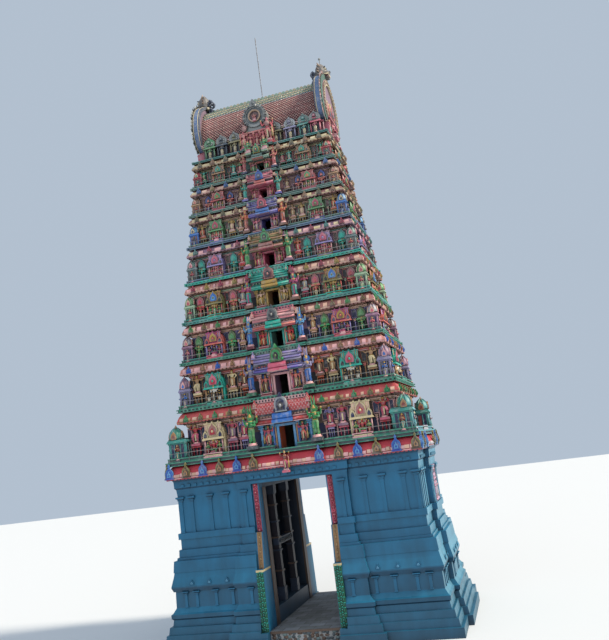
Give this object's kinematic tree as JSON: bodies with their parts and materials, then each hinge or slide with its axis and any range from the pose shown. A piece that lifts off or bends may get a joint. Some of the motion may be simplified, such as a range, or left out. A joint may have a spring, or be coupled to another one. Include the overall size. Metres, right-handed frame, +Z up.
{
  "type": "temple gate tower",
  "caption": "Painted South Indian gate tower: blue moulded base with a tall passage, stepped storeys of shrines and figures with doorways, and a wagon-vaulted roof.",
  "frame": {"origin": "middle of the footprint on the ground", "axes": "+Z up, +X along the front from left to right, -Y towards the front"},
  "size_m": [17.788, 10.9, 39.48],
  "materials": {
    "blue_paint": "matt blue masonry paint over lime plaster",
    "column_paint": "dull brown masonry paint",
    "jamb_paint": "carved stone painted pink, gold brown and green",
    "paving_stone": "worn grey paving",
    "cornice_red": "satin red masonry paint with a white edge",
    "tier_1_paint": "matt masonry paint over plaster, many colours",
    "tier_1_cornice_paint": "matt masonry paint over plaster with pale highlights",
    "tier_2_paint": "matt masonry paint over plaster, many colours",
    "tier_2_cornice_paint": "matt masonry paint over plaster with pale highlights",
    "tier_3_paint": "matt masonry paint over plaster, many colours",
    "tier_3_cornice_paint": "matt masonry paint over plaster with pale highlights",
    "tier_4_paint": "matt masonry paint over plaster, many colours",
    "tier_4_cornice_paint": "matt masonry paint over plaster with pale highlights",
    "tier_5_paint": "matt masonry paint over plaster, many colours",
    "tier_5_cornice_paint": "matt masonry paint over plaster with pale highlights",
    "tier_6_paint": "matt masonry paint over plaster, many colours",
    "tier_6_cornice_paint": "matt masonry paint over plaster with pale highlights",
    "tier_7_paint": "matt masonry paint over plaster, many colours",
    "tier_7_cornice_paint": "matt masonry paint over plaster with pale highlights",
    "tier_8_paint": "matt masonry paint over plaster, many colours",
    "tier_8_cornice_paint": "matt masonry paint over plaster with pale highlights",
    "neck_paint": "matt maroon masonry paint",
    "roof_tiles": "moulded plaster scales painted salmon red with cream edges",
    "gable_paint": "matt masonry paint in blue, green and cream",
    "nasi_paint": "matt masonry paint in grey green and cream",
    "rod_metal": "dull galvanised"
  },
  "bodies": {
    "root": {"left_plinth": "blue_paint", "right_plinth": "blue_paint", "left_gate_wall": "blue_paint", "right_gate_wall": "blue_paint", "gate_lintel": "blue_paint", "left_chamber_columns": "column_paint", "right_chamber_columns": "column_paint", "front_left_jamb": "jamb_paint", "front_right_jamb": "jamb_paint", "back_left_jamb": "jamb_paint", "back_right_jamb": "jamb_paint", "passage_floor": "paving_stone", "main_cornice": "cornice_red", "tier_1_left_walls": "tier_1_paint", "tier_1_right_walls": "tier_1_paint", "tier_1_cornice": "tier_1_cornice_paint", "tier_2_left_walls": "tier_2_paint", "tier_2_right_walls": "tier_2_paint", "tier_2_cornice": "tier_2_cornice_paint", "tier_3_left_walls": "tier_3_paint", "tier_3_right_walls": "tier_3_paint", "tier_3_cornice": "tier_3_cornice_paint", "tier_4_left_walls": "tier_4_paint", "tier_4_right_walls": "tier_4_paint", "tier_4_cornice": "tier_4_cornice_paint", "tier_5_left_walls": "tier_5_paint", "tier_5_right_walls": "tier_5_paint", "tier_5_cornice": "tier_5_cornice_paint", "tier_6_left_walls": "tier_6_paint", "tier_6_right_walls": "tier_6_paint", "tier_6_cornice": "tier_6_cornice_paint", "tier_7_left_walls": "tier_7_paint", "tier_7_right_walls": "tier_7_paint", "tier_7_cornice": "tier_7_cornice_paint", "tier_8_left_walls": "tier_8_paint", "tier_8_right_walls": "tier_8_paint", "tier_8_cornice": "tier_8_cornice_paint", "roof_neck": "neck_paint", "roof_vault": "roof_tiles", "left_gable": "gable_paint", "right_gable": "gable_paint", "front_nasi": "nasi_paint", "back_nasi": "nasi_paint", "lightning_rod": "rod_metal"}
  },
  "joints": []
}
